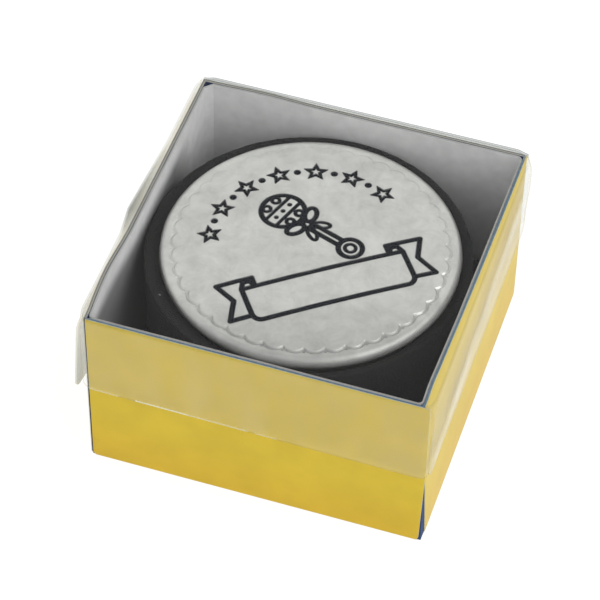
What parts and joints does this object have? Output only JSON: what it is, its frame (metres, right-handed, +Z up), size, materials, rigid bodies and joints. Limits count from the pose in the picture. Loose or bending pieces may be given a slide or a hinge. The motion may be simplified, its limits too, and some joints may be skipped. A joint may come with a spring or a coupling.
{
  "type": "baby tooth keepsake box in a gift tray",
  "caption": "Round pewter lidded box for a baby's first tooth, bedded on black foam in a square yellow card tray with a clear film cover.",
  "frame": {"origin": "middle of the tray's underside, on the surface that the box stands on", "axes": "+Z up, -Y the front of the tray, +X to its right"},
  "size_m": [0.046, 0.046, 0.0272],
  "materials": {
    "yellow_card": "coated card, printed yellow outside, navy inside",
    "grey_card": "uncoated pale grey card",
    "black_foam": "matt black closed cell foam",
    "pewter": "satin hand finished pewter with blackened engraving",
    "felt": "navy felt",
    "clear_film": "clear creased film"
  },
  "bodies": {
    "tray": {"card_tray": "yellow_card", "tray_liner": "grey_card", "foam_pad": "black_foam", "foam_collar": "black_foam"},
    "keepsake": {"keepsake_base": "pewter", "base_lining": "felt"},
    "keepsake_lid": {"keepsake_lid": "pewter"},
    "clear_lid": {"clear_lid": "clear_film"}
  },
  "joints": [
    {"name": "keepsake_lift", "type": "slide", "parent": "tray", "child": "keepsake", "axis": [0, 0, 1], "range_m": [0, 0.04]},
    {"name": "keepsake_lid_lift", "type": "slide", "parent": "keepsake", "child": "keepsake_lid", "axis": [0, 0, 1], "range_m": [0, 0.02]},
    {"name": "clear_lid_lift", "type": "slide", "parent": "tray", "child": "clear_lid", "axis": [0, 0, 1], "range_m": [0, 0.09]}
  ],
  "couplings": [
    {"joint": "clear_lid_lift", "follows": "keepsake_lift", "ratio": 2.25},
    {"joint": "keepsake_lid_lift", "follows": "keepsake_lift", "ratio": 0.5}
  ]
}
